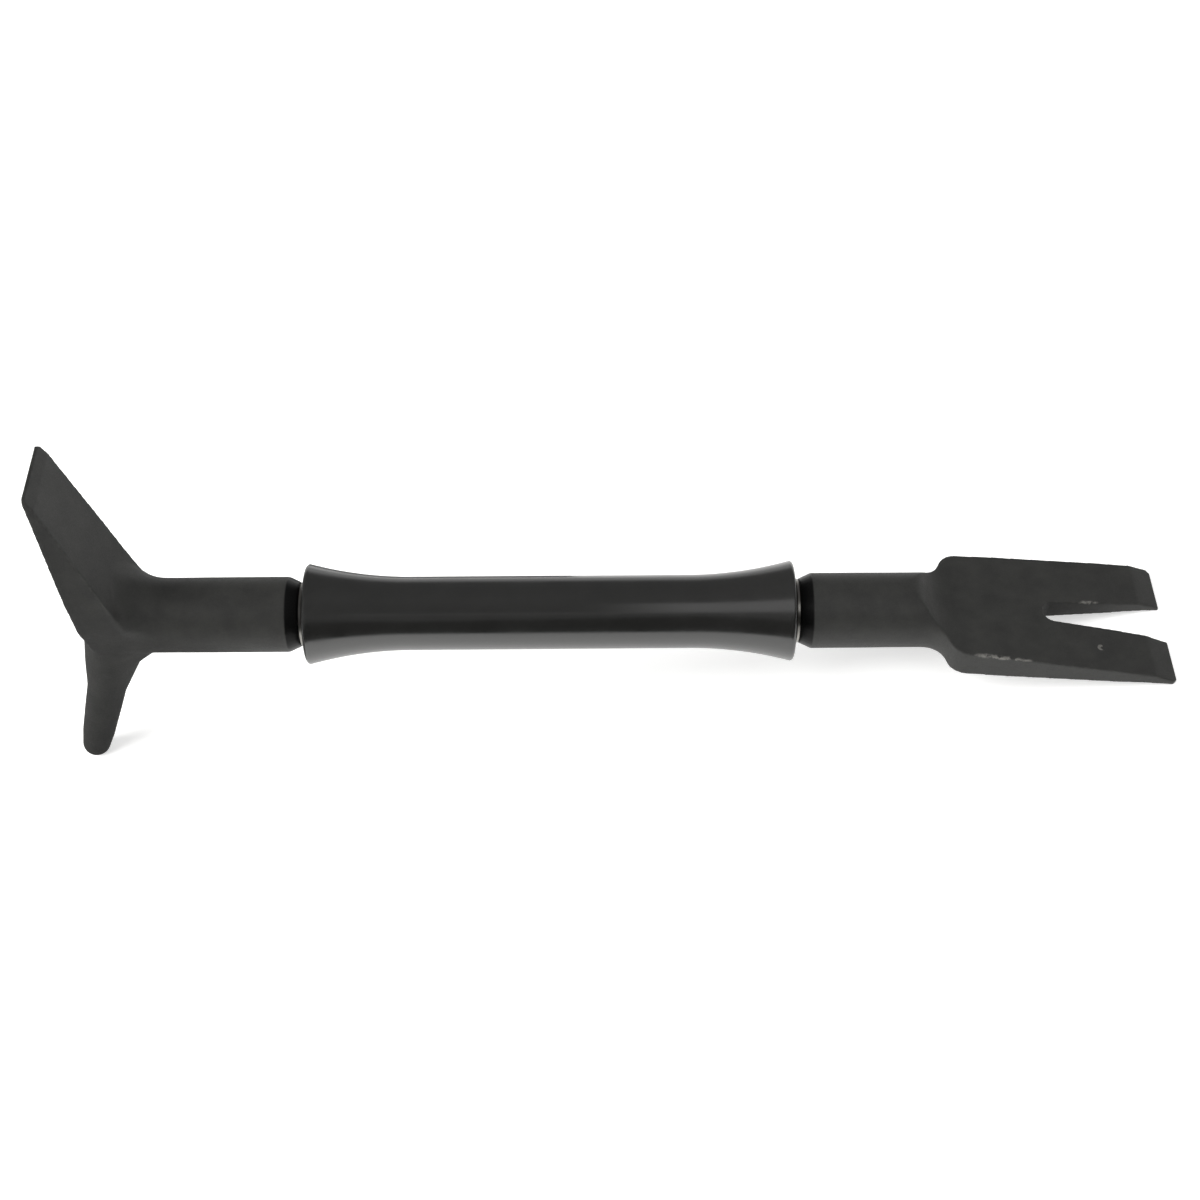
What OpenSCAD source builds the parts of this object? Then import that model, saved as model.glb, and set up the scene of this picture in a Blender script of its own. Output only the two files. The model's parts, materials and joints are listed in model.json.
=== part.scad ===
// Forcible-entry bar: a forged wedge fork on one end, a forged adze and round pike on the other,
// and a flared grip sleeve between them.
// The pieces are drawn along the bar, with the grip's middle at zero, the fork at +X and the
// adze up, and are then set down together on the pike's nose and the two fork tips.

/* [Grip sleeve] */
// length between the end faces
grip_length = 272.4; // [230:0.2:310]
// diameter of the straight middle
grip_waist = 41; // [38:0.2:44]
// diameter of the flared rims
grip_rim = 55.8; // [50:0.2:60]
// length of each flare
flare_length = 56; // [36:1:76]
// radius of the rolled rim
rim_radius = 1.8; // [1.2:0.1:2.6]
// height of each crowned end face past its rim
end_crown = 3; // [2.2:0.1:4]

/* [Core tube and collars] */
// outside diameter of the core tube
tube_diameter = 31; // [28:0.5:33]
// wall of the core tube
tube_wall = 3.4; // [2.4:0.1:4.4]
// thickness of each collar along the bar
collar_length = 2; // [1.2:0.2:5]
// radial clearance between nested round faces
fit_gap = 0.15; // [0.1:0.05:0.25]

/* [Shanks and tangs] */
// diameter of both forged shanks
shank_diameter = 42; // [40:0.2:48]
// length of the chamfer at each shank's shoulder
chamfer_length = 6.8; // [4:0.2:9]
// depth of that chamfer, which brings the shoulder down to the collar
chamfer_depth = 3.2; // [2.4:0.1:3.6]
// length of each tang inside the core tube
tang_length = 64; // [58:1:90]
// diameter of the cross pins
pin_diameter = 8; // [5:0.5:10]
// distance from a shank's shoulder to its first pin
pin_inset = 17; // [14:1:22]
// distance from the first pin to the second
pin_pitch = 30; // [20:1:30]

/* [Head forging] */
// distance from the shoulder to the crossing of the pike and the bar
head_reach = 101.7; // [80:0.1:130]
// rounding of the shank's end, under the adze
head_round = 3.5; // [2:0.5:6]
// height of the adze edge above the bar's axis
adze_height = 115; // [90:1:140]
// width of the adze at its edge
adze_edge_width = 41.5; // [34:0.5:44]
// widest part of the adze, near its root
adze_root_width = 50.4; // [46:0.2:54]
// height of that widest part above the bar's axis
adze_root_height = 14; // [10:1:30]
// distance from the crossing to the adze's outer face, on the bar's axis
adze_set = 16.5; // [14:0.5:19]
// thickness of the adze at the bar's axis
adze_root_thickness = 30.4; // [27:0.2:34]
// thickness of the adze where its edge bevel starts to count
adze_tip_thickness = 3.2; // [2.6:0.1:5]
// lean of the adze's outer face away from the fork
adze_lean = 4; // [0:0.2:8]
// height of the bevel that sharpens the edge
adze_bevel = 7; // [4:0.5:12]
// thickness left at the edge
adze_edge = 1.4; // [0.8:0.1:2.4]
// cut of the two edge corners
adze_corner = 2; // [1:0.2:4]
// radius of the bend from the shank into the adze
adze_bend = 32; // [24:0.5:36]
// length of the pike from the bar's axis to its tip
pike_length = 133.5; // [110:0.5:160]
// lean of the pike away from the fork
pike_lean = 17.2; // [12:0.2:22]
// diameter of the pike's taper produced to the bar's axis
pike_root_diameter = 28.4; // [26:0.2:32]
// diameter of the pike where its nose begins
pike_nose_diameter = 19; // [17.6:0.2:23]
// length of the nose
nose_length = 22; // [16:1:28]
// radius of the rounded tip
nose_radius = 8.2; // [6:0.1:8.6]
// diameter of the swell where the pike leaves the shank
swell_diameter = 39.2; // [36:0.2:41]
// distance from the bar's axis to the widest part of that swell
swell_start = 12; // [8:1:16]
// distance from the bar's axis to the end of that swell
swell_end = 66; // [58:1:78]
// radius of the bend from the shank into the pike
pike_bend = 20; // [15:0.5:25]

/* [Fork forging] */
// distance from the shoulder to the start of the spread
fork_reach = 70.1; // [50:0.1:100]
// length of the spread from the shank to the blade
spread_length = 22; // [18:1:40]
// distance by which the forging flattens ahead of its spread
flatten_lead = 14; // [6:1:20]
// length over which it flattens
flatten_length = 30; // [26:1:36]
// length of the blade from the spread to the tips
blade_length = 115.5; // [90:0.5:140]
// width of the blade at the spread
blade_root_width = 72.2; // [64:0.2:78]
// width of the blade at the tips
blade_tip_width = 82; // [72:0.5:90]
// height of the top face above the bar's axis, where the forging is flat
top_root = 6; // [4:0.1:8]
// drop of the top face from there to the tips, before the bevel
top_drop = 17.5; // [15:0.1:19]
// drop of the underside below the bar's axis, where the forging is flat
under_root = 12.8; // [10:0.2:15]
// drop of the underside below the bar's axis, at the tips
under_tip = 17.4; // [17:0.2:20]
// length of the bevel that sharpens the tips
tip_bevel = 13; // [8:0.5:18]
// thickness left at the tips
tip_edge = 2; // [1.4:0.1:3]
// cut of the outer corner of each tip
tip_corner = 2.4; // [1:0.2:4]
// length of the slot from the tips to its round end
slot_length = 70.5; // [54:0.5:80]
// width of the slot at its round end
slot_root_width = 13.4; // [10:0.2:16]
// width of the slot between the tips
slot_mouth_width = 24.8; // [20:0.2:29]

/* [Hidden] */
$fn = 96;
// depth at which a blended form is hidden inside the form that it leaves
tuck = 0.3;
// how far a cutter runs past what it cuts
past = 10;
// what the arcs of an S-shaped step have over the radius at which they would only touch
arc_lap = 0.03;

tube_r = tube_diameter / 2;
bore_r = tube_r - tube_wall;
tang_r = bore_r - fit_gap;
shank_r = shank_diameter / 2;
shoulder_r = shank_r - chamfer_depth;
shoulder_x = grip_length / 2 + collar_length;
pin_r = pin_diameter / 2;

cross_x = -shoulder_x - head_reach;
adze_slope = tan(adze_lean) + (adze_root_thickness - adze_tip_thickness) / adze_height;
adze_face_angle = atan(adze_slope);
adze_face_x = cross_x - adze_set + adze_root_thickness;
nose_x = cross_x - (pike_length - nose_radius) * sin(pike_lean);
nose_z = -(pike_length - nose_radius) * cos(pike_lean);

spread_x = shoulder_x + fork_reach;
blade_x = spread_x + spread_length;
flat_start = spread_x - flatten_lead;
flat_x = flat_start + flatten_length;
tip_x = blade_x + blade_length;
tip_top = tip_edge - under_tip;

// tilt that brings the nose of the pike and the fork tips down to one level
rest_span = norm([tip_x - nose_x, -under_tip - nose_z]);
rest_tilt = atan2(-under_tip - nose_z, tip_x - nose_x) + asin(nose_radius / rest_span);
rest_level = -tip_x * sin(rest_tilt) - under_tip * cos(rest_tilt);
rest_front = tip_x * cos(rest_tilt) + tip_top * sin(rest_tilt);
rest_back = nose_x * cos(rest_tilt) + nose_z * sin(rest_tilt) - nose_radius;

module set_down() {
    translate([-(rest_front + rest_back) / 2, 0, -rest_level])
    rotate([0, rest_tilt, 0])
    children();
}

// turns a profile of [radius, distance along the bar] about the bar's axis
module about_bar() {
    rotate([0, 90, 0])
    rotate_extrude()
    children();
}

// draws a profile of [distance along the bar, height] right across the bar
module across_bar(width) {
    rotate([90, 0, 0])
    linear_extrude(height = width, center = true)
    children();
}

// area under an S-shaped rise of two equal arcs, which cross a little at its middle
module rise(from_x, from_h, to_x, to_h) {
    step = to_h - from_h;
    arc = ((to_x - from_x) ^ 2 + step ^ 2) / (4 * step) + arc_lap;
    difference() {
        union() {
            polygon([[from_x, 0], [to_x, 0], [to_x, to_h], [from_x, from_h]]);
            intersection() {
                translate([to_x, to_h - arc])
                circle(arc);
                translate([from_x, 0])
                square([to_x - from_x, to_h + past]);
            }
        }
        translate([from_x, from_h + arc])
        circle(arc);
    }
}

// the same for an S-shaped fall
module fall(from_x, from_h, to_x, to_h) {
    step = from_h - to_h;
    arc = ((to_x - from_x) ^ 2 + step ^ 2) / (4 * step) + arc_lap;
    difference() {
        union() {
            polygon([[from_x, 0], [to_x, 0], [to_x, to_h], [from_x, from_h]]);
            intersection() {
                translate([from_x, from_h - arc])
                circle(arc);
                translate([from_x, 0])
                square([to_x - from_x, from_h + past]);
            }
        }
        translate([to_x, to_h + arc])
        circle(arc);
    }
}

// swaps the two directions of a profile
module swapped() {
    mirror([1, -1])
    children();
}

// holes for the two pins of a tang whose shoulder is at x and which points along dir
module pin_holes(x, dir) {
    pin_at(x + dir * pin_inset, 90, pin_r + fit_gap, shank_diameter);
    pin_at(x + dir * (pin_inset + pin_pitch), 0, pin_r + fit_gap, shank_diameter);
}

module pin_at(x, turn, radius, length) {
    translate([x, 0, 0])
    rotate([turn, 0, 0])
    cylinder(r = radius, h = length, center = true);
}

module pin(x, turn) {
    pin_at(x, turn, pin_r, tube_diameter - 4 * fit_gap);
}

// bend of a round section, from along the bar toward the head to straight away from it
module bend(radius, inside, angle) {
    rotate([-90, 0, 0])
    rotate([0, 0, 90])
    rotate_extrude(angle = angle)
    translate([inside + radius, 0])
    circle(radius);
}

module head_shank() {
    end_x = cross_x - adze_set + tuck;
    round_r = shank_r - head_round;
    about_bar()
    union() {
        polygon([[0, end_x], [round_r, end_x], [shank_r, end_x + head_round],
            [shank_r, -shoulder_x - chamfer_length], [shoulder_r, -shoulder_x], [tang_r, -shoulder_x],
            [tang_r, -shoulder_x + tang_length], [0, -shoulder_x + tang_length]]);
        translate([round_r, end_x + head_round])
        circle(head_round);
    }
}

// the wedge: its side outline and its front outline, one through the other
module adze() {
    outer_top = cross_x - adze_set - adze_height * tan(adze_lean);
    bevel_z = adze_height - adze_bevel;
    intersection() {
        across_bar(adze_root_width + past)
        polygon([[cross_x - adze_set, 0], [adze_face_x, 0], [adze_face_x - bevel_z * adze_slope, bevel_z],
            [outer_top + adze_edge, adze_height], [outer_top, adze_height]]);
        translate([cross_x - adze_height, 0, 0])
        rotate([90, 0, 90])
        linear_extrude(height = 2 * adze_height)
        polygon([[tuck - shank_r, 0], [shank_r - tuck, 0], [adze_root_width / 2, adze_root_height],
            [adze_edge_width / 2, adze_height - adze_corner],
            [adze_edge_width / 2 - adze_corner, adze_height],
            [adze_corner - adze_edge_width / 2, adze_height],
            [-adze_edge_width / 2, adze_height - adze_corner], [-adze_root_width / 2, adze_root_height]]);
    }
}

// blend of the shank's upper side into the adze, kept in front of the adze's outer face
module adze_blend() {
    radius = shank_r - tuck;
    centre_z = shank_r + adze_bend - tuck;
    centre_x = adze_face_x
        + (adze_bend - tuck - centre_z * sin(adze_face_angle)) / cos(adze_face_angle);
    top_z = centre_z + shank_diameter;
    intersection() {
        translate([centre_x, 0, centre_z])
        bend(radius, adze_bend, 90 - adze_face_angle);
        across_bar(shank_diameter + past)
        polygon([[cross_x - adze_set + tuck, 0], [cross_x - adze_set + tuck - top_z * tan(adze_lean), top_z],
            [centre_x + past, top_z], [centre_x + past, 0]]);
    }
}

module pike() {
    nose_at = pike_length - nose_radius;
    neck_at = pike_length - nose_length;
    neck_r = pike_nose_diameter / 2;
    root_r = pike_root_diameter / 2;
    reach = norm([neck_r, neck_at - nose_at]);
    touch = atan2(neck_at - nose_at, neck_r) + acos(nose_radius / reach);
    swell_r = swell_diameter / 2;
    swell_foot = root_r + (neck_r - root_r) * swell_end / neck_at;
    touch_r = nose_radius - arc_lap;
    translate([cross_x, 0, 0])
    rotate([0, 180 + pike_lean, 0])
    rotate_extrude()
    union() {
        polygon([[0, swell_start - 0.8 * swell_r], [0.5 * swell_r, swell_start - 0.7 * swell_r],
            [0.85 * swell_r, swell_start - 0.4 * swell_r], [swell_r, swell_start],
            [swell_foot, swell_end], [neck_r, neck_at],
            [touch_r * cos(touch), nose_at + touch_r * sin(touch)], [0, nose_at]]);
        intersection() {
            translate([0, nose_at])
            circle(nose_radius);
            translate([0, nose_at - nose_radius])
            square([nose_radius, 2 * nose_radius]);
        }
    }
}

// blend of the shank's underside into the pike
module pike_blend() {
    lean_turn = 90 - pike_lean;
    radius = (pike_root_diameter + pike_nose_diameter) / 4;
    axis_z = shank_r - tuck - radius;
    start_x = cross_x - axis_z * tan(pike_lean) + (pike_bend + radius) * tan(lean_turn / 2);
    translate([start_x, 0, -axis_z - pike_bend - radius])
    mirror([0, 0, 1])
    bend(radius, pike_bend, lean_turn);
}

module adze_pike_head() {
    color("dimgray")
    set_down()
    difference() {
        union() {
            head_shank();
            adze();
            adze_blend();
            pike();
            pike_blend();
        }
        pin_holes(-shoulder_x, 1);
    }
}

// round stock of the fork: tang, shank and the flare from which the blade is cut
module fork_stock() {
    root_reach = norm([blade_root_width / 2, under_root]) + 2 * tuck;
    tip_reach = norm([blade_tip_width / 2, under_tip]) + 2 * tuck;
    about_bar()
    union() {
        polygon([[0, shoulder_x - tang_length], [tang_r, shoulder_x - tang_length],
            [tang_r, shoulder_x], [shoulder_r, shoulder_x],
            [shank_r, shoulder_x + chamfer_length], [shank_r, spread_x], [0, spread_x]]);
        swapped()
        rise(spread_x, shank_r, blade_x, root_reach);
        polygon([[0, blade_x], [root_reach, blade_x], [tip_reach, tip_x], [0, tip_x]]);
    }
}

module fork_half_plan() {
    start_x = shoulder_x - tang_length - past;
    clear_r = shank_r + tuck;
    polygon([[start_x, 0], [spread_x, 0], [spread_x, clear_r], [start_x, clear_r]]);
    rise(spread_x, clear_r, blade_x, blade_root_width / 2);
    polygon([[blade_x, 0], [tip_x, 0], [tip_x, blade_tip_width / 2 - tip_corner],
        [tip_x - tip_corner, blade_tip_width / 2], [blade_x, blade_root_width / 2]]);
}

module fork_plan() {
    fork_half_plan();
    mirror([0, 1])
    fork_half_plan();
}

module fork_side() {
    start_x = shoulder_x - tang_length - past;
    clear_r = shank_r + tuck;
    bevel_x = tip_x - tip_bevel;
    bevel_top = top_root - top_drop * (bevel_x - flat_x) / (tip_x - flat_x);
    polygon([[start_x, -clear_r], [flat_start, -clear_r], [flat_start, clear_r], [start_x, clear_r]]);
    fall(flat_start, clear_r, flat_x, top_root);
    mirror([0, 1])
    fall(flat_start, clear_r, flat_x, under_root);
    polygon([[flat_x, -under_root], [tip_x, -under_tip], [tip_x, tip_top], [bevel_x, bevel_top],
        [flat_x, top_root]]);
}

module slot_plan() {
    root_r = slot_root_width / 2;
    root_x = tip_x - slot_length + root_r;
    slope = (slot_mouth_width / 2 - root_r) / (tip_x - root_x);
    translate([root_x, 0])
    circle(root_r);
    polygon([[root_x, -root_r], [tip_x + past, -slot_mouth_width / 2 - slope * past],
        [tip_x + past, slot_mouth_width / 2 + slope * past], [root_x, root_r]]);
}

module fork_head() {
    color("dimgray")
    set_down()
    difference() {
        intersection() {
            fork_stock();
            translate([0, 0, -shank_diameter])
            linear_extrude(height = 2 * shank_diameter)
            fork_plan();
            across_bar(blade_tip_width + past)
            fork_side();
        }
        translate([0, 0, -shank_diameter])
        linear_extrude(height = 2 * shank_diameter)
        slot_plan();
        pin_holes(shoulder_x, -1);
    }
}

module core_tube() {
    color("silver")
    set_down()
    difference() {
        about_bar()
        translate([bore_r, -shoulder_x])
        square([tube_wall, 2 * shoulder_x]);
        pin_holes(-shoulder_x, 1);
        pin_holes(shoulder_x, -1);
    }
}

// one end of the grip's section: straight, concave flare, rolled rim and crowned end face
module grip_end_section() {
    bore = tube_r + fit_gap;
    waist_r = grip_waist / 2;
    rim_r = grip_rim / 2;
    end_x = grip_length / 2;
    rim_x = end_x - end_crown;
    flare_x = rim_x - flare_length;
    bead_r = rim_r - rim_radius;
    flare_arc = (flare_length ^ 2 + (rim_r - waist_r) ^ 2) / (2 * (rim_r - waist_r));
    away = norm([shoulder_r - bead_r, end_x - rim_x]);
    touch = atan2(end_x - rim_x, shoulder_r - bead_r) - acos(rim_radius / away);
    difference() {
        translate([bore, 0])
        square([rim_r - bore, rim_x]);
        translate([waist_r, -past])
        square([rim_r, flare_x + past]);
        translate([waist_r + flare_arc, flare_x])
        circle(flare_arc);
    }
    translate([bead_r, rim_x])
    circle(rim_radius);
    polygon([[bore, rim_x], [bead_r, rim_x],
        [bead_r + rim_radius * cos(touch), rim_x + rim_radius * sin(touch)],
        [shoulder_r, end_x], [bore, end_x]]);
}

module grip_sleeve() {
    color("black")
    set_down()
    about_bar()
    union() {
        grip_end_section();
        mirror([0, 1])
        grip_end_section();
    }
}

module collar(x) {
    about_bar()
    translate([tube_r + fit_gap, x])
    square([shoulder_r - tube_r - fit_gap, collar_length]);
}

module head_collar() {
    color("lightgray")
    set_down()
    collar(-shoulder_x);
}

module fork_collar() {
    color("lightgray")
    set_down()
    collar(shoulder_x - collar_length);
}

module head_pin_outer() {
    color("gold")
    set_down()
    pin(pin_inset - shoulder_x, 90);
}

module head_pin_inner() {
    color("gold")
    set_down()
    pin(pin_inset + pin_pitch - shoulder_x, 0);
}

module fork_pin_outer() {
    color("gold")
    set_down()
    pin(shoulder_x - pin_inset, 90);
}

module fork_pin_inner() {
    color("gold")
    set_down()
    pin(shoulder_x - pin_inset - pin_pitch, 0);
}

adze_pike_head();
fork_head();
core_tube();
grip_sleeve();
head_collar();
fork_collar();
head_pin_outer();
head_pin_inner();
fork_pin_outer();
fork_pin_inner();
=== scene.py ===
import json
import math

import bmesh
import bpy
import numpy as np
from mathutils import Matrix, Vector


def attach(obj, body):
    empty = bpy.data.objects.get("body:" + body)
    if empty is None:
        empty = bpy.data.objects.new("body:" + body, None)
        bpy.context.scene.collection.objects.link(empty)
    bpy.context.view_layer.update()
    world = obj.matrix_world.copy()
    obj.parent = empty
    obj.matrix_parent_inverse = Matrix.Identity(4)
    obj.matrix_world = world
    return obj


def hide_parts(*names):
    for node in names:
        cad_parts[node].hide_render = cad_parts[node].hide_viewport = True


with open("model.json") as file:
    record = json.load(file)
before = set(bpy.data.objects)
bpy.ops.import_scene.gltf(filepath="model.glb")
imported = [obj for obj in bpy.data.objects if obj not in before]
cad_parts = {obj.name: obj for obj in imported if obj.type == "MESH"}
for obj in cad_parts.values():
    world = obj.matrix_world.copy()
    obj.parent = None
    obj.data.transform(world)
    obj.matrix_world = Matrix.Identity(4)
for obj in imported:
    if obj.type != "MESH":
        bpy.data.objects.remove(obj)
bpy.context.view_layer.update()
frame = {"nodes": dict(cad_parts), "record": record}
mm = 0.001
mergeDistance = 0.001 * mm
print("frame: ", len(frame["nodes"]), "nodes")

# the bar's own axes, from the record: along it to the fork, across it, and up to the adze
gripMount = next(m for m in frame["record"]["mounts"] if m["name"] == "grip")
barAlong = Vector(gripMount["axis"]).normalized()
barAcross = Vector((0, 1, 0))
barUp = barAlong.cross(barAcross)
barPlace = Matrix((barAlong, barAcross, barUp)).transposed().to_4x4()
barPlace.translation = Vector(gripMount["pos_m"])
barAxes = np.array((barAlong, barAcross, barUp))


def onBar(mesh):    # a mesh's points along, across and above the bar
    points = np.zeros(len(mesh.vertices) * 3)
    mesh.vertices.foreach_get("co", points)
    return (points.reshape(-1, 3) - np.array(gripMount["pos_m"])) @ barAxes.T


def turnedSize(nodeName):    # where a turned node starts and ends, and its least and greatest radius
    points = onBar(frame["nodes"][nodeName].data)
    radius = np.hypot(points[:, 1], points[:, 2])
    return points[:, 0].min(), points[:, 0].max(), radius.min(), radius.max()


def addNode(tree, kind, inputs=None, **settings):
    made = tree.nodes.new(kind)
    for name, value in settings.items():
        setattr(made, name, value)
    for name, value in (inputs or {}).items():
        if isinstance(value, bpy.types.NodeSocket):
            tree.links.new(value, made.inputs[name])
        else:
            made.inputs[name].default_value = value
    return made


def linear(hexColour):    # sRGB hex to the linear colour that the shaders take
    parts = [int(hexColour[i:i + 2], 16) / 255 for i in (1, 3, 5)]
    return tuple(c / 12.92 if c <= 0.04045 else ((c + 0.055) / 1.055) ** 2.4 for c in parts) + (1,)


def perMetre(sizeMm):    # texture scale that gives a pattern about this size
    return 1 / (sizeMm * mm)


def newMaterial(name):
    material = bpy.data.materials.new(name)
    material.use_nodes = True
    tree = material.node_tree
    tree.nodes.clear()
    coords = addNode(tree, "ShaderNodeTexCoord").outputs["Object"]
    return material, tree, coords


# steel forged and then blackened: matte and nearly even, faintly mottled, worn bright on its edges, with
# painted shade on its turned chamfers and a painted highlight on the pike's nose
forgingLook = {
    "dark": "#272726",
    "light": "#31312f",
    # near black: painted shade on the turned chamfers, in the gap beside the grip's flare
    "machinedAndPaintedShade": "#0d0d0d",
    "rubbedAndHighlight": "#a3a19c",
    "mottleMm": 14.0,
    "grainMm": 0.8,
    "roughness": (0.52, 0.66),
    "machinedRoughness": 0.3,
    "machinedGleam": 0.12,
    "chipMm": 3.2,
    "edgeRub": 0.1,
    # knocks, and a painted highlight on the pike's nose: middle and reach along, across and above the bar in
    # mm, on edges only or not, strength
    "knocksAndNoseHighlight": [((247, -36, 2), (25, 5, 5), True, 1.6),
               ((303, 9, -6), (7, 4, 4), True, 1.6),
               ((304.7, -23.5, -5.6), (2.4, 2.4, 2.4), False, 3.0),
               ((-177, -16, -13), (6, 5, 4), False, 0.5),
               # the last is no knock: a painted highlight on the pike's nose
               ((-281, -4, -124), (4, 6, 4), False, 0.5)],
}


def blackOxideForging():
    look = forgingLook
    material, tree, coords = newMaterial("black_oxide_forged_steel")
    mottle = addNode(tree, "ShaderNodeTexNoise", {
        "Vector": coords, "Scale": perMetre(look["mottleMm"]), "Detail": 5.0, "Roughness": 0.65})
    grain = addNode(tree, "ShaderNodeTexNoise", {
        "Vector": coords, "Scale": perMetre(look["grainMm"]), "Detail": 3.0, "Roughness": 0.55})
    patchy = addNode(tree, "ShaderNodeMapRange", {
        "Value": mottle.outputs["Fac"], "From Min": 0.3, "From Max": 0.7})
    oxide = addNode(tree, "ShaderNodeMix", {
        "Factor": patchy.outputs["Result"], "A": linear(look["dark"]), "B": linear(look["light"])},
        data_type="RGBA")
    # the turned chamfers at the shoulders took the black finish smooth; their near-black colour is painted
    # shade, for the gap beside the grip's flare
    machinedAndPaintedShade = addNode(tree, "ShaderNodeAttribute", attribute_name="machinedAndPaintedShade")
    cut = addNode(tree, "ShaderNodeMix", {
        "Factor": machinedAndPaintedShade.outputs["Fac"], "A": oxide.outputs["Result"], "B": linear(look["machinedAndPaintedShade"])},
        data_type="RGBA")
    edge = addNode(tree, "ShaderNodeAttribute", attribute_name="edge").outputs["Fac"]
    rubbedAndHighlight = addNode(tree, "ShaderNodeMath", {0: edge, 1: look["edgeRub"]}, operation="MULTIPLY").outputs[0]
    for centre, size, onEdge, strength in look["knocksAndNoseHighlight"]:
        # 1 in the middle of each knock and of the painted highlight, and 0 from its size outwards
        inMark = addNode(tree, "ShaderNodeMapping", {
            "Vector": coords, "Location": barPlace @ (Vector(centre) * mm), "Scale": Vector(size) * mm,
            "Rotation": barPlace.to_euler()}, vector_type="TEXTURE")
        away = addNode(tree, "ShaderNodeVectorMath", {0: inMark.outputs["Vector"]}, operation="LENGTH")
        near = addNode(tree, "ShaderNodeMapRange", {
            "Value": away.outputs["Value"], "From Min": 0.2, "From Max": 1.0,
            "To Min": strength, "To Max": 0.0}, interpolation_type="SMOOTHSTEP").outputs["Result"]
        if onEdge:
            near = addNode(tree, "ShaderNodeMath", {0: near, 1: edge}, operation="MULTIPLY").outputs[0]
        rubbedAndHighlight = addNode(tree, "ShaderNodeMath", {0: rubbedAndHighlight, 1: near}, operation="ADD").outputs[0]
    chips = addNode(tree, "ShaderNodeTexNoise", {
        "Vector": coords, "Scale": perMetre(look["chipMm"]), "Detail": 3.0, "Roughness": 0.6})
    chipped = addNode(tree, "ShaderNodeMapRange", {
        "Value": chips.outputs["Fac"], "From Min": 0.4, "From Max": 0.62})
    speckled = addNode(tree, "ShaderNodeMath", {
        0: rubbedAndHighlight, 1: chipped.outputs["Result"]}, operation="MULTIPLY")
    wearAndHighlight = addNode(tree, "ShaderNodeMapRange", {
        "Value": speckled.outputs[0], "From Min": 0.05, "From Max": 0.8, "To Min": 0.0, "To Max": 0.9})
    colour = addNode(tree, "ShaderNodeMix", {
        "Factor": wearAndHighlight.outputs["Result"], "A": cut.outputs["Result"], "B": linear(look["rubbedAndHighlight"])},
        data_type="RGBA")
    satin = addNode(tree, "ShaderNodeMapRange", {
        "Value": grain.outputs["Fac"], "From Min": 0.3, "From Max": 0.7,
        "To Min": look["roughness"][0], "To Max": look["roughness"][1]})
    rough = addNode(tree, "ShaderNodeMix", {
        "Factor": machinedAndPaintedShade.outputs["Fac"], "A": satin.outputs["Result"], "B": look["machinedRoughness"]})
    gleam = addNode(tree, "ShaderNodeMix", {
        "Factor": machinedAndPaintedShade.outputs["Fac"], "A": 0.5, "B": look["machinedGleam"]})
    bump = addNode(tree, "ShaderNodeBump", {
        "Height": grain.outputs["Fac"], "Strength": 0.3, "Distance": 0.06 * mm})
    shader = addNode(tree, "ShaderNodeBsdfPrincipled", {
        "Base Color": colour.outputs["Result"], "Metallic": wearAndHighlight.outputs["Result"],
        "Roughness": rough.outputs["Result"], "Specular IOR Level": gleam.outputs["Result"],
        "Normal": bump.outputs["Normal"]})
    addNode(tree, "ShaderNodeOutputMaterial", {"Surface": shader.outputs["BSDF"]})
    return material


# polypropylene moulded in a polished tool: black, smooth, with a soft gloss and faint handling marks
gripLook = {
    "black": "#191918",
    "scuffed": "#232322",
    "scuffMm": 22.0,
    "grainMm": 1.2,
    "roughness": (0.17, 0.25),
    "ior": 1.78,    # above the plain polymer's 1.49, for the gloss of the moulded skin
}


def mouldedPolypropylene():
    look = gripLook
    material, tree, coords = newMaterial("moulded_black_polypropylene")
    scuff = addNode(tree, "ShaderNodeTexNoise", {
        "Vector": coords, "Scale": perMetre(look["scuffMm"]), "Detail": 5.0, "Roughness": 0.62})
    grain = addNode(tree, "ShaderNodeTexNoise", {
        "Vector": coords, "Scale": perMetre(look["grainMm"]), "Detail": 2.0})
    colour = addNode(tree, "ShaderNodeMix", {
        "Factor": scuff.outputs["Fac"], "A": linear(look["black"]), "B": linear(look["scuffed"])},
        data_type="RGBA")
    rough = addNode(tree, "ShaderNodeMapRange", {
        "Value": scuff.outputs["Fac"], "From Min": 0.35, "From Max": 0.7,
        "To Min": look["roughness"][0], "To Max": look["roughness"][1]})
    bump = addNode(tree, "ShaderNodeBump", {
        "Height": grain.outputs["Fac"], "Strength": 0.1, "Distance": 0.03 * mm})
    shader = addNode(tree, "ShaderNodeBsdfPrincipled", {
        "Base Color": colour.outputs["Result"], "Roughness": rough.outputs["Result"],
        "IOR": look["ior"], "Normal": bump.outputs["Normal"]})
    addNode(tree, "ShaderNodeOutputMaterial", {"Surface": shader.outputs["BSDF"]})
    return material


# bare carbon steel: turned rings on the collars, drawn lines on the tube, ground pins
bareSteelLook = {
    "collar": ("#a3a19c", "#6d6b67"),    # clean and dull
    "tube": ("#8d8c89", "#6a6967"),
    "pin": ("#9a9894", "#7b7975"),
    "tarnishMm": 9.0,
    "turningMm": 0.45,    # coarser than a lathe's feed, so that it shows
    "roughness": (0.26, 0.42),
}


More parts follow.
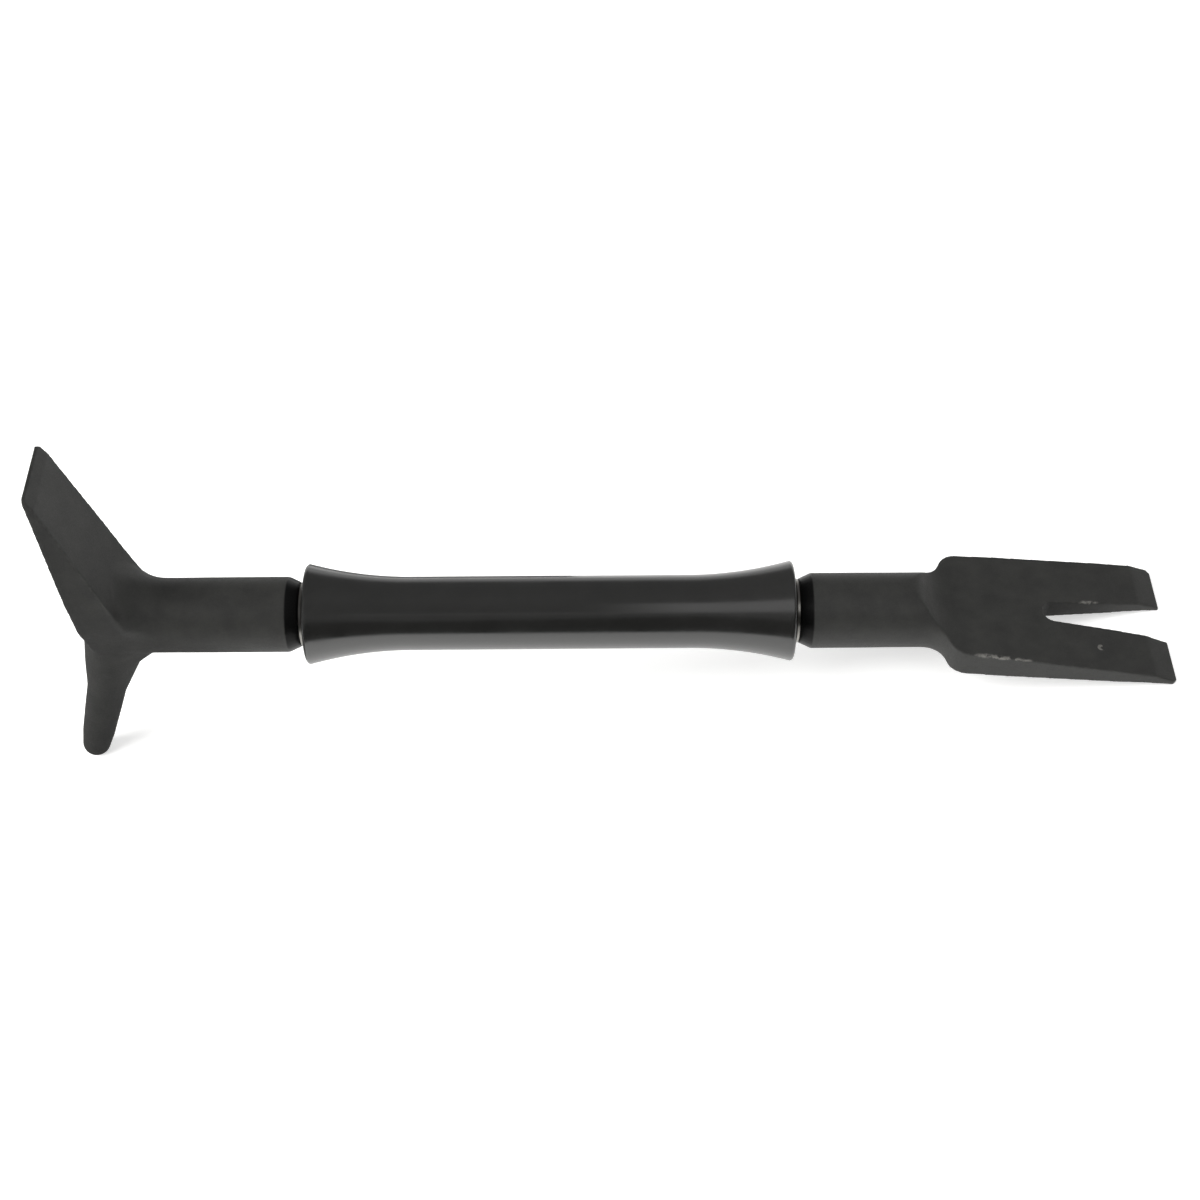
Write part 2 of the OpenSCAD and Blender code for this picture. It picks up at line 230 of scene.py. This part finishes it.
def turnedSteel(name, clean, dull):
    look = bareSteelLook
    material, tree, coords = newMaterial(name)
    along = addNode(tree, "ShaderNodeVectorMath", {0: coords, 1: tuple(barAlong)}, operation="DOT_PRODUCT")
    rings = addNode(tree, "ShaderNodeTexNoise", {
        "W": along.outputs["Value"], "Scale": perMetre(look["turningMm"]), "Detail": 2.0},
        noise_dimensions="1D")
    tarnish = addNode(tree, "ShaderNodeTexNoise", {
        "Vector": coords, "Scale": perMetre(look["tarnishMm"]), "Detail": 4.0})
    colour = addNode(tree, "ShaderNodeMix", {
        "Factor": tarnish.outputs["Fac"], "A": linear(clean), "B": linear(dull)}, data_type="RGBA")
    rough = addNode(tree, "ShaderNodeMapRange", {
        "Value": tarnish.outputs["Fac"], "From Min": 0.3, "From Max": 0.7,
        "To Min": look["roughness"][0], "To Max": look["roughness"][1]})
    bump = addNode(tree, "ShaderNodeBump", {
        "Height": rings.outputs["Fac"], "Strength": 0.35, "Distance": 0.05 * mm})
    shader = addNode(tree, "ShaderNodeBsdfPrincipled", {
        "Base Color": colour.outputs["Result"], "Metallic": 1.0, "Roughness": rough.outputs["Result"],
        "Normal": bump.outputs["Normal"]})
    addNode(tree, "ShaderNodeOutputMaterial", {"Surface": shader.outputs["BSDF"]})
    return material


forgedSteel = blackOxideForging()
gripPolymer = mouldedPolypropylene()
collarSteel = turnedSteel("turned_bare_steel", *bareSteelLook["collar"])
tubeSteel = turnedSteel("drawn_steel_tube", *bareSteelLook["tube"])
pinSteel = turnedSteel("ground_pin_steel", *bareSteelLook["pin"])
print("materials made")


def meshObject(name, mesh):
    piece = bpy.data.objects.new(name, mesh)
    bpy.context.scene.collection.objects.link(piece)
    return piece


def applied(piece):    # the piece's mesh with its modifiers in it
    piece.data = bpy.data.meshes.new_from_object(
        piece.evaluated_get(bpy.context.evaluated_depsgraph_get()))
    piece.modifiers.clear()
    return piece


def smoothed(piece, groupName, weights, rounds):
    group = piece.vertex_groups.new(name=groupName)
    for i, weight in enumerate(weights):
        group.add((i,), float(weight), "REPLACE")
    smooth = piece.modifiers.new(groupName, "SMOOTH")
    smooth.vertex_group = groupName
    smooth.factor = 0.5    # half way to the middle of the neighbours
    smooth.iterations = rounds
    applied(piece)
    piece.vertex_groups.clear()


def merged(mesh, turnOut=False):    # doubles joined, and the faces turned outwards if asked
    solid = bmesh.new()
    solid.from_mesh(mesh)
    bmesh.ops.remove_doubles(solid, verts=solid.verts, dist=mergeDistance)
    if turnOut:
        bmesh.ops.recalc_face_normals(solid, faces=solid.faces)
    solid.to_mesh(mesh)
    solid.free()
    return mesh


def fade(values, full, none):    # 1 at full, 0 at none, with soft ends
    t = np.clip((values - none) / (full - none), 0, 1)
    return t * t * (3 - 2 * t)


def meshArrays(mesh):    # points, normals and the ends of the edges
    points = np.zeros(len(mesh.vertices) * 3)
    normals = np.zeros(len(mesh.vertices) * 3)
    ends = np.zeros(len(mesh.edges) * 2, int)
    mesh.vertices.foreach_get("co", points)
    mesh.vertex_normals.foreach_get("vector", normals)
    mesh.edges.foreach_get("vertices", ends)
    return points.reshape(-1, 3), normals.reshape(-1, 3), ends.reshape(-1, 2)


def meanAround(points, ends):    # the middle of each point's neighbours
    count = len(points)
    links = np.maximum(np.bincount(ends.ravel(), minlength=count), 1)
    return np.stack([
        np.bincount(ends[:, 0], points[ends[:, 1], k], count)
        + np.bincount(ends[:, 1], points[ends[:, 0], k], count) for k in range(3)], -1) / links[:, None]


def standsOut(mesh, reach):    # how far each point stands out from its surroundings
    points, normals, ends = meshArrays(mesh)
    mean = points
    for _ in range(reach):
        mean = meanAround(mean, ends)
    return np.einsum("ij,ij->i", points - mean, normals)


def remeshed(piece, voxel):
    remesh = piece.modifiers.new("die", "REMESH")
    remesh.mode = "VOXEL"
    remesh.voxel_size = voxel
    return applied(piece)


def pushed(piece, distance):    # along the normals
    push = piece.modifiers.new("push", "DISPLACE")
    push.strength = distance
    push.mid_level = 0
    return applied(piece)


def rolledFillets(mesh, settings):
    # what a cutter can't reach: the surface goes out by its radius, closes up, and comes back
    radius, voxel = settings["radius"], settings["voxel"]
    body = meshObject("fillets", mesh.copy())
    body.data.transform(Matrix.Diagonal((1, settings["flatness"], 1, 1)))
    remeshed(body, voxel)
    smoothed(body, "blunt", np.ones(len(body.data.vertices)), settings["bluntRounds"])
    remeshed(pushed(body, radius), voxel)
    smoothed(body, "even", np.ones(len(body.data.vertices)), settings["evenRounds"])
    pushed(body, -radius - settings["sink"])
    body.data.transform(Matrix.Diagonal((1, settings["narrowed"] / settings["flatness"], 1, 1)))
    solid = bmesh.new()
    solid.from_mesh(body.data)
    for place, outward in settings["ends"]:    # only the roots, with each cut closed
        cut = bmesh.ops.bisect_plane(
            solid, geom=solid.verts[:] + solid.edges[:] + solid.faces[:], clear_outer=True,
            plane_co=barPlace @ Vector(place), plane_no=barPlace.to_3x3() @ Vector(outward))
        rim = [e for e in cut["geom_cut"] if isinstance(e, bmesh.types.BMEdge)]
        bmesh.ops.holes_fill(solid, edges=rim)
    bmesh.ops.triangulate(solid, faces=solid.faces)
    solid.to_mesh(body.data)
    solid.free()
    made = body.data
    bpy.data.objects.remove(body)
    return made


def ribMesh(start, end, radius):    # a round-ended bar between two places on the bar's plane
    rib = bmesh.new()
    for place in (start, end):
        bmesh.ops.create_icosphere(rib, subdivisions=4, radius=radius,
                                   matrix=Matrix.Translation(barPlace @ Vector(place)))
    bmesh.ops.delete(rib, geom=rib.edges[:], context="EDGES_FACES")
    hull = bmesh.ops.convex_hull(rib, input=rib.verts)
    bmesh.ops.delete(rib, geom=hull["geom_interior"], context="VERTS")
    mesh = bpy.data.meshes.new("rib")
    rib.to_mesh(mesh)
    rib.free()
    return mesh


def wedgeMesh(outline, halfWidth):    # an outline of (along, above) places, two half widths thick
    count = len(outline)
    places = [barPlace @ Vector((along, across, above))
              for across in (-halfWidth, halfWidth) for along, above in outline]
    faces = [tuple(range(count)), tuple(range(2 * count - 1, count - 1, -1))]
    faces += [(i, i + count, (i + 1) % count + count, (i + 1) % count) for i in range(count)]
    mesh = bpy.data.meshes.new("wedge")
    mesh.from_pydata(places, [], faces)
    return mesh


def joined(piece, mesh, operation="UNION"):
    other = meshObject("other", mesh)
    join = piece.modifiers.new("join", "BOOLEAN")
    join.operation = operation
    join.solver = "MANIFOLD"
    join.object = other
    applied(piece)
    bpy.data.objects.remove(other)


def forge(nodeName, settings, runOut, keep, soft):
    # the CAD solid, with the soft edges and the run-outs that a die gives it
    crisp = meshObject(nodeName + "_crisp", merged(frame["nodes"][nodeName].data.copy()))
    if "rib" in settings:
        joined(crisp, ribMesh(*settings["rib"]))
    if "wedge" in settings:
        joined(crisp, wedgeMesh(*settings["wedge"]), "DIFFERENCE")
    if "fillets" in settings:
        joined(crisp, rolledFillets(crisp.data, settings["fillets"]))
    piece = remeshed(meshObject(nodeName + "_forging", crisp.data.copy()), settings["voxel"])
    snap = piece.modifiers.new("snap", "SHRINKWRAP")    # puts the points back on the crisp surface
    snap.target = crisp
    applied(piece)
    bpy.data.objects.remove(crisp)
    ridge = fade(standsOut(piece.data, settings["ridgeReach"]), settings["ridgeHeight"], 0.0)
    points = onBar(piece.data)
    smoothed(piece, "runOut", runOut(points) * (1 - keep(points) * ridge), settings["runOutRounds"])
    smoothed(piece, "soft", soft(onBar(piece.data)), settings["softRounds"])

    # the edges, and the turned chamfer that carries painted shade, as values for the material
    edge = np.clip(standsOut(piece.data, settings["wearReach"]) / settings["wearHeight"], 0, 1)
    machinedAndPaintedShade = fade(np.abs(onBar(piece.data)[:, 0]), *settings["chamfer"])
    for name, values in (("edge", edge), ("machinedAndPaintedShade", machinedAndPaintedShade)):
        attribute = piece.data.attributes.new(name, "FLOAT", "POINT")
        attribute.data.foreach_set("value", values.astype(np.float32))
    thin = piece.modifiers.new("thin", "DECIMATE")
    thin.ratio = settings["kept"]
    applied(piece)

    piece.data.materials.clear()
    piece.data.materials.append(forgedSteel)
    piece.data.shade_smooth()
    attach(piece, "root")
    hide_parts(nodeName)
    print(piece.name, len(piece.data.polygons), "faces")


def softBut(values, keenEnd, settings):    # how soft the edges get, least towards a keen end
    least = settings["leastSoft"]
    return least + (1 - least) * fade(values, keenEnd - settings["keenLength"], keenEnd)


shoulder = turnedSize("fork_collar")[1]
chamfer = (shoulder + 6.5 * mm, shoulder + 7.3 * mm)    # turned up to the first, forged from the second
adzeTop = onBar(frame["nodes"]["adze_pike_head"].data)[:, 2].max()
crossing = -shoulder - 101.7 * mm    # where the pike's axis meets the bar's

# places are along, across and above the bar, and each pair is where a run-out is full and where it ends
headSettings = {
    "voxel": 0.6 * mm,
    "rib": ((crossing + 23.9 * mm, 0, 0), (crossing - 9.3 * mm, 0, -30 * mm), 14.3 * mm),    # under the shank
    # off the top of the pike's back, so that the adze's back runs on into it
    "wedge": ([(crossing - 17.1 * mm, 8 * mm), (crossing - 60 * mm, 8 * mm),
               (crossing - 60 * mm, -38 * mm), (crossing - 27.1 * mm, -38 * mm)], 40 * mm),
    "fillets": {    # as by a flat cutter that goes round the outline of the die
        "radius": 25 * mm,
        "flatness": 4.0,
        "narrowed": 0.96,
        "voxel": 1.2 * mm,
        "bluntRounds": 20,
        "evenRounds": 16,
        "sink": 0.8 * mm,
        "ends": [((crossing + 70 * mm, 0, 0), (1, 0, 0)),    # planes, as a place and the way out
                 ((0, 0, 48 * mm), (0, 0, 1)),
                 ((0, 0, -80 * mm), (0, 0, -1))],
    },
    "runOutRounds": 160,     # the roots of the adze and the pike
    "runOutAlong": (crossing + 30 * mm, crossing + 54 * mm),
    "runOutAbove": (30 * mm, 56 * mm),
    "runOutBelow": (-52 * mm, -84 * mm),
    "ridgeReach": 24,
    "ridgeHeight": 0.5 * mm,
    "ridgeKept": 0.9,        # of the adze's edges: down to its root nearby, and past it on the far side
    "keptAcross": (6 * mm, -4 * mm),
    "keptAbove": (36 * mm, 16 * mm),
    "softRounds": 14,        # every other edge
    "leastSoft": 0.3,
    "keenLength": 16 * mm,   # of the adze's edge, which stays sharper
    "wearReach": 6,
    "wearHeight": 0.3 * mm,
    "chamfer": chamfer,
    "kept": 0.42,
}


def headRunOut(points):
    along, above = points[:, 0], points[:, 2]
    return (fade(along, *headSettings["runOutAlong"]) * fade(above, *headSettings["runOutAbove"])
            * fade(above, *headSettings["runOutBelow"]))


def headKeep(points):
    return headSettings["ridgeKept"] * np.maximum(
        fade(points[:, 1], *headSettings["keptAcross"]), fade(points[:, 2], *headSettings["keptAbove"]))


def headSoft(points):
    return softBut(points[:, 2], adzeTop, headSettings)


forge("adze_pike_head", headSettings, headRunOut, headKeep, headSoft)

forkTip = onBar(frame["nodes"]["fork_head"].data)[:, 0].max()
forkSpread = forkTip - 136 * mm    # the middle of the spread

forkSettings = {
    "voxel": 0.5 * mm,
    "runOutRounds": 220,     # where the round shank flattens and spreads into the blade
    "runOutReach": (20 * mm, 40 * mm),
    "bevelMiddle": 15 * mm,  # from the tips, where the top rolls over to the bevel
    "bevelReach": (6 * mm, 15 * mm),
    "bevelShare": 0.6,
    "ridgeReach": 24,
    "ridgeHeight": 0.4 * mm,
    "ridgeKept": 0.85,
    "softRounds": 10,
    "leastSoft": 0.3,
    "keenLength": 12 * mm,   # of the tips
    "wearReach": 6,
    "wearHeight": 0.3 * mm,
    "chamfer": chamfer,
    "kept": 0.36,
}


def forkRunOut(points):
    spread = fade(np.abs(points[:, 0] - forkSpread), *forkSettings["runOutReach"])
    fromBevel = np.abs(forkTip - points[:, 0] - forkSettings["bevelMiddle"])
    return np.maximum(spread, forkSettings["bevelShare"] * fade(fromBevel, *forkSettings["bevelReach"]))


def forkKeep(points):
    return np.full(len(points), forkSettings["ridgeKept"])


def forkSoft(points):
    return softBut(points[:, 0], forkTip, forkSettings)


forge("fork_head", forkSettings, forkRunOut, forkKeep, forkSoft)


def turningTree():    # sweeps a section round the bar, for the grip and the collars
    tree = bpy.data.node_groups.new("turnRoundBar", "GeometryNodeTree")
    interface = tree.interface
    interface.new_socket("Geometry", in_out="INPUT", socket_type="NodeSocketGeometry")
    interface.new_socket("Steps", in_out="INPUT", socket_type="NodeSocketInt")
    interface.new_socket("Rail Radius", in_out="INPUT", socket_type="NodeSocketFloat")
    interface.new_socket("Material", in_out="INPUT", socket_type="NodeSocketMaterial")
    interface.new_socket("Geometry", in_out="OUTPUT", socket_type="NodeSocketGeometry")
    given = addNode(tree, "NodeGroupInput").outputs
    section = addNode(tree, "GeometryNodeMeshToCurve", {"Mesh": given["Geometry"]})
    rail = addNode(tree, "GeometryNodeCurvePrimitiveCircle", {
        "Resolution": given["Steps"], "Radius": given["Rail Radius"]})
    upright = addNode(tree, "GeometryNodeSetCurveNormal", {"Curve": rail.outputs["Curve"]}, mode="Z_UP")
    turned = addNode(tree, "GeometryNodeCurveToMesh", {
        "Curve": upright.outputs["Curve"], "Profile Curve": section.outputs["Curve"]})
    real = addNode(tree, "GeometryNodeRealizeInstances", {"Geometry": turned.outputs["Mesh"]})
    painted = addNode(tree, "GeometryNodeSetMaterial", {
        "Geometry": real.outputs["Geometry"], "Material": given["Material"]})
    addNode(tree, "NodeGroupOutput", {"Geometry": painted.outputs["Geometry"]})
    return tree


turnRoundBar = turningTree()
turning = {
    "steps": 160,
    "railRadius": 1 * mm,
    "sharpAngle": 34.0,    # degrees between faces that stay a crisp edge
}


def turn(name, section, material, nodeName):
    # the section is a closed list of (along the bar, radius)
    rail = turning["railRadius"]
    mesh = bpy.data.meshes.new(name)
    count = len(section)
    mesh.from_pydata([(radius - rail, -along, 0) for along, radius in section],
                     [(i, (i + 1) % count) for i in range(count)], [])
    piece = meshObject(name, mesh)
    modifier = piece.modifiers.new("turn", "NODES")
    modifier.node_group = turnRoundBar
    given = {"Steps": turning["steps"], "Rail Radius": rail, "Material": material}
    for socket in turnRoundBar.interface.items_tree:
        if socket.in_out == "INPUT" and socket.name in given:
            modifier[socket.identifier] = given[socket.name]
    applied(piece)
    # the sweep stands on its end: lay it along the bar
    piece.data.transform(barPlace @ Matrix.Rotation(math.pi / 2, 4, "Y"))
    merged(piece.data, turnOut=True)
    piece.data.shade_smooth()
    piece.data.set_sharp_from_angle(angle=math.radians(turning["sharpAngle"]))
    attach(piece, "root")
    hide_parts(nodeName)
    print(name, len(piece.data.polygons), "faces")


def arc(centre, radius, start, end, steps):    # points of an arc, from one angle to another
    return [(centre[0] + radius * math.cos(a), centre[1] + radius * math.sin(a))
            for a in np.linspace(start, end, steps)]


gripSettings = {
    "rimRound": 1.8 * mm,
    "endCrown": 3.0 * mm,
    "boreEdge": 0.3 * mm,
    "flareSteps": 40,
    "rimSteps": 14,
    "straightSteps": 30,
}


def gripSection():
    start, end, bore, rim = turnedSize("grip_sleeve")
    waist = gripMount["dims"]["r_mm"] * mm
    straight = gripMount["dims"]["length_mm"] / 2 * mm
    collar = turnedSize("head_collar")[3]
    half = (end - start) / 2
    beadAlong = half - gripSettings["endCrown"]
    beadRadius = rim - gripSettings["rimRound"]
    run = beadAlong - straight
    flare = (run ** 2 + (rim - waist) ** 2) / (2 * (rim - waist))
    sweep = math.asin(run / flare)
    crown = math.atan2(gripSettings["endCrown"] - gripSettings["rimRound"], beadRadius - collar)
    points = [(along, waist) for along in np.linspace(0, straight, gripSettings["straightSteps"])][:-1]
    points += arc((straight, waist + flare), flare, -math.pi / 2, sweep - math.pi / 2,
                  gripSettings["flareSteps"])[:-1]
    points += arc((beadAlong, beadRadius), gripSettings["rimRound"], math.pi / 2, crown,
                  gripSettings["rimSteps"])
    points += [(half, collar), (half, bore + gripSettings["boreEdge"]),
               (half - gripSettings["boreEdge"], bore)]
    otherEnd = [(-along, radius) for along, radius in points[:0:-1]]
    return points + otherEnd


turn("grip_sleeve_moulding", gripSection(), gripPolymer, "grip_sleeve")

collarSettings = {"edge": 0.4 * mm}


def collarSection(nodeName):
    start, end, bore, outside = turnedSize(nodeName)
    edge = collarSettings["edge"]
    return [(start, bore), (start, outside - edge), (start + edge, outside),
            (end - edge, outside), (end, outside - edge), (end, bore)]


turn("head_collar_ring", collarSection("head_collar"), collarSteel, "head_collar")
turn("fork_collar_ring", collarSection("fork_collar"), collarSteel, "fork_collar")

# the tube and its pins are inside, and stay as the CAD has them
for nodeName, material in (("core_tube", tubeSteel), ("head_pin_outer", pinSteel),
                           ("head_pin_inner", pinSteel), ("fork_pin_outer", pinSteel),
                           ("fork_pin_inner", pinSteel)):
    inner = frame["nodes"][nodeName]
    inner.data.materials.clear()
    inner.data.materials.append(material)
print("pieces made")


floorSettings = {
    "side": 14.0,
    "paper": "#e8e8e6",
    "glow": 0.4,         # what the camera and the metal see of the lit paper beside its shade
    "cameraGlow": 0.16,  # more of it for the camera, so that the shade stays pale
}


def paperFloor():
    material, tree, _ = newMaterial("white_paper_floor")
    rays = addNode(tree, "ShaderNodeLightPath").outputs
    seen = addNode(tree, "ShaderNodeMath", {
        0: rays["Is Camera Ray"], 1: rays["Is Glossy Ray"]}, operation="ADD", use_clamp=True)
    seen = addNode(tree, "ShaderNodeMath", {
        0: seen.outputs[0], 1: rays["Is Transmission Ray"]}, operation="ADD", use_clamp=True)
    glow = addNode(tree, "ShaderNodeMath", {
        0: seen.outputs[0], 1: floorSettings["glow"]}, operation="MULTIPLY")
    pale = addNode(tree, "ShaderNodeMath", {
        0: rays["Is Camera Ray"], 1: floorSettings["cameraGlow"], 2: glow.outputs[0]},
        operation="MULTIPLY_ADD")
    paper = addNode(tree, "ShaderNodeBsdfDiffuse", {"Color": linear(floorSettings["paper"])})
    light = addNode(tree, "ShaderNodeEmission", {"Strength": pale.outputs[0]})
    both = addNode(tree, "ShaderNodeAddShader", {0: paper.outputs["BSDF"], 1: light.outputs["Emission"]})
    addNode(tree, "ShaderNodeOutputMaterial", {"Surface": both.outputs["Shader"]})
    return material


def card(name, points, faces, material):
    mesh = bpy.data.meshes.new(name)
    mesh.from_pydata(points, [], faces)
    mesh.materials.append(material)
    made = meshObject(name, mesh)
    return made


reach = floorSettings["side"] / 2
card("floor", [(-reach, -reach, 0), (reach, -reach, 0), (reach, reach, 0), (-reach, reach, 0)],
     [(0, 1, 2, 3)], paperFloor())

# the cards round the bar show only as reflections on it

def mirrored(made):
    made.visible_camera = False
    made.visible_diffuse = False
    made.visible_shadow = False
    made.visible_transmission = False


flagSettings = {    # folded, in front, where it ends the white paper in the grip's reflection
    "foot": [(-1.6, -0.6), (-0.35, -0.46), (-0.12, -0.34), (0.1, -0.225), (0.3, -0.2), (1.6, -0.2)],
    "lift": 0.001,
    "height": 0.3,
    "lean": 0.12,
    "black": "#0c0c0c",
}


def blackFlag():
    material, tree, _ = newMaterial("black_card")
    black = addNode(tree, "ShaderNodeBsdfDiffuse", {"Color": linear(flagSettings["black"])})
    addNode(tree, "ShaderNodeOutputMaterial", {"Surface": black.outputs["BSDF"]})
    foot = flagSettings["foot"]
    points = [(x, y, flagSettings["lift"]) for x, y in foot]
    points += [(x, y - flagSettings["lean"], flagSettings["height"]) for x, y in foot]
    count = len(foot)
    mirrored(card("black_flag", points,
                  [(i, i + 1, count + i + 1, count + i) for i in range(count - 1)], material))


def gradedCard(name, corners, grade, glow):    # from one glow at its left to another at its right
    material, tree, coords = newMaterial("pale_" + name)
    across = addNode(tree, "ShaderNodeSeparateXYZ", {"Vector": coords}).outputs["X"]
    graded = addNode(tree, "ShaderNodeMapRange", {
        "Value": across, "From Min": grade[0], "From Max": grade[1],
        "To Min": glow[0], "To Max": glow[1]}, interpolation_type="SMOOTHSTEP")
    pale = addNode(tree, "ShaderNodeEmission", {"Strength": graded.outputs["Result"]})
    addNode(tree, "ShaderNodeOutputMaterial", {"Surface": pale.outputs["Emission"]})
    mirrored(card(name, corners, [(0, 1, 2, 3)], material))


bounceSettings = {    # high in front of the bar
    "far": (-0.95, 1.05),     # y and z of its two long edges
    "near": (-0.35, 1.35),
    "half": 1.3,
    "grade": (-0.25, 0.3),    # along x
    "glow": (0.25, 0.8),
}


def bounceCard():
    half, far, near = (bounceSettings[k] for k in ("half", "far", "near"))
    gradedCard("bounce_card", [(-half, *far), (half, *far), (half, *near), (-half, *near)],
               bounceSettings["grade"], bounceSettings["glow"])


stripSettings = {    # close over the grip, which mirrors it as a streak that brightens to the right
    "ends": (-0.15, 0.125),    # along the bar
    "radius": 0.12,            # from the bar's axis
    "angles": (48.0, 74.0),    # above the level, of its two long edges
    "grade": (0.012, 0.105),   # along x
    "glow": (0.14, 0.88),
}


def stripCard():
    left, right = stripSettings["ends"]
    edges = [(-stripSettings["radius"] * math.cos(math.radians(angle)),
              stripSettings["radius"] * math.sin(math.radians(angle)))
             for angle in stripSettings["angles"]]
    corners = [barPlace @ Vector((along, *edge)) for along, edge in (
        (left, edges[0]), (right, edges[0]), (right, edges[1]), (left, edges[1]))]
    gradedCard("strip_card", corners, stripSettings["grade"], stripSettings["glow"])


greySettings = {    # on the floor round the head, so that the adze and the pike don't mirror white paper
    "corners": [(-0.7, -0.45), (-0.36, -0.45), (-0.235, -0.08), (-0.2, 0.06), (-0.02, 0.08),
                (-0.02, 0.34), (-0.7, 0.5)],
    "lift": 0.002,
    "glow": 0.3,
}


def greyCard():
    material, tree, _ = newMaterial("grey_card")
    grey = addNode(tree, "ShaderNodeEmission", {"Strength": greySettings["glow"]})
    addNode(tree, "ShaderNodeOutputMaterial", {"Surface": grey.outputs["Emission"]})
    points = [(x, y, greySettings["lift"]) for x, y in greySettings["corners"]]
    mirrored(card("grey_card", points, [range(len(points))], material))


blackFlag()
bounceCard()
stripCard()
greyCard()

lampSettings = {
    # name: place, aim, width, height, watts
    "left_softbox": ((-1.1, -0.42, 1.2), (0.0, 0.0, 0.0), 1.2, 1.4, 35.0),
    "right_softbox": ((0.8, -0.2, 1.4), (0.2, 0.0, 0.0), 1.6, 2.2, 15.0),
}

for name, (place, aim, width, height, watts) in lampSettings.items():
    lamp = bpy.data.lights.new(name, "AREA")
    lamp.shape = "RECTANGLE"
    lamp.size = width
    lamp.size_y = height
    lamp.energy = watts
    holder = bpy.data.objects.new(name, lamp)
    holder.location = place
    holder.rotation_euler = (Vector(aim) - Vector(place)).to_track_quat("-Z", "Y").to_euler()
    holder.visible_glossy = False
    bpy.context.scene.collection.objects.link(holder)

roomSettings = {
    "wall": 0.85,
    "endWall": 0.24,
    "endFrom": (0.35, 0.75),    # of the way round to either end
    "ceiling": 0.16,
    "ceilingFrom": (0.08, 0.34),    # of the way up
}


def studioRoom():    # pale behind and in front, dimmer at both ends and overhead
    world = bpy.data.worlds.new("studio")
    world.use_nodes = True
    tree = world.node_tree
    tree.nodes.clear()
    direction = addNode(tree, "ShaderNodeTexCoord").outputs["Generated"]
    parts = addNode(tree, "ShaderNodeSeparateXYZ", {"Vector": direction}).outputs
    toEnd = addNode(tree, "ShaderNodeMath", {0: parts["X"]}, operation="ABSOLUTE")
    endFrom, ceilingFrom = roomSettings["endFrom"], roomSettings["ceilingFrom"]
    wall = addNode(tree, "ShaderNodeMapRange", {
        "Value": toEnd.outputs[0], "From Min": endFrom[0], "From Max": endFrom[1],
        "To Min": roomSettings["wall"], "To Max": roomSettings["endWall"]}, interpolation_type="SMOOTHSTEP")
    strength = addNode(tree, "ShaderNodeMapRange", {
        "Value": parts["Z"], "From Min": ceilingFrom[0], "From Max": ceilingFrom[1],
        "To Min": wall.outputs["Result"], "To Max": roomSettings["ceiling"]}, interpolation_type="SMOOTHSTEP")
    sky = addNode(tree, "ShaderNodeBackground", {
        "Color": (1, 1, 1, 1), "Strength": strength.outputs["Result"]})
    addNode(tree, "ShaderNodeOutputWorld", {"Surface": sky.outputs["Background"]})
    bpy.context.scene.world = world


studioRoom()

# the photograph's view, set out from the bar: seen from its near side and above
cameraSettings = {
    "lens": 56.58,
    "distance": 1052.4 * mm,
    "elevation": 50.0,
    "yaw": -0.3,
    "roll": -0.42,
    "aimAlong": 27.8 * mm,    # past the grip's middle, towards the fork
    "rise": 6.7 * mm,
}


def photoCamera():
    tilt, yaw, roll = (math.radians(cameraSettings[k]) for k in ("elevation", "yaw", "roll"))
    right = Vector((1, 0, 0))
    up = Vector((0, math.sin(tilt), math.cos(tilt)))
    back = Vector((0, -math.cos(tilt), math.sin(tilt)))
    right, back = (right * math.cos(yaw) - back * math.sin(yaw),
                   back * math.cos(yaw) + right * math.sin(yaw))
    right, up = (right * math.cos(roll) + up * math.sin(roll),
                 up * math.cos(roll) - right * math.sin(roll))
    place = Matrix((right, up, back)).transposed().to_4x4()
    place.translation = (Vector((cameraSettings["aimAlong"], 0, 0))
                         + back * cameraSettings["distance"] + up * cameraSettings["rise"])
    lens = bpy.data.cameras.new("photo_camera")
    lens.lens = cameraSettings["lens"]
    camera = bpy.data.objects.new("photo_camera", lens)
    camera.matrix_world = barPlace @ place
    bpy.context.scene.collection.objects.link(camera)
    bpy.context.scene.camera = camera


photoCamera()
bpy.context.scene.view_settings.view_transform = "Standard"
print("stage set")
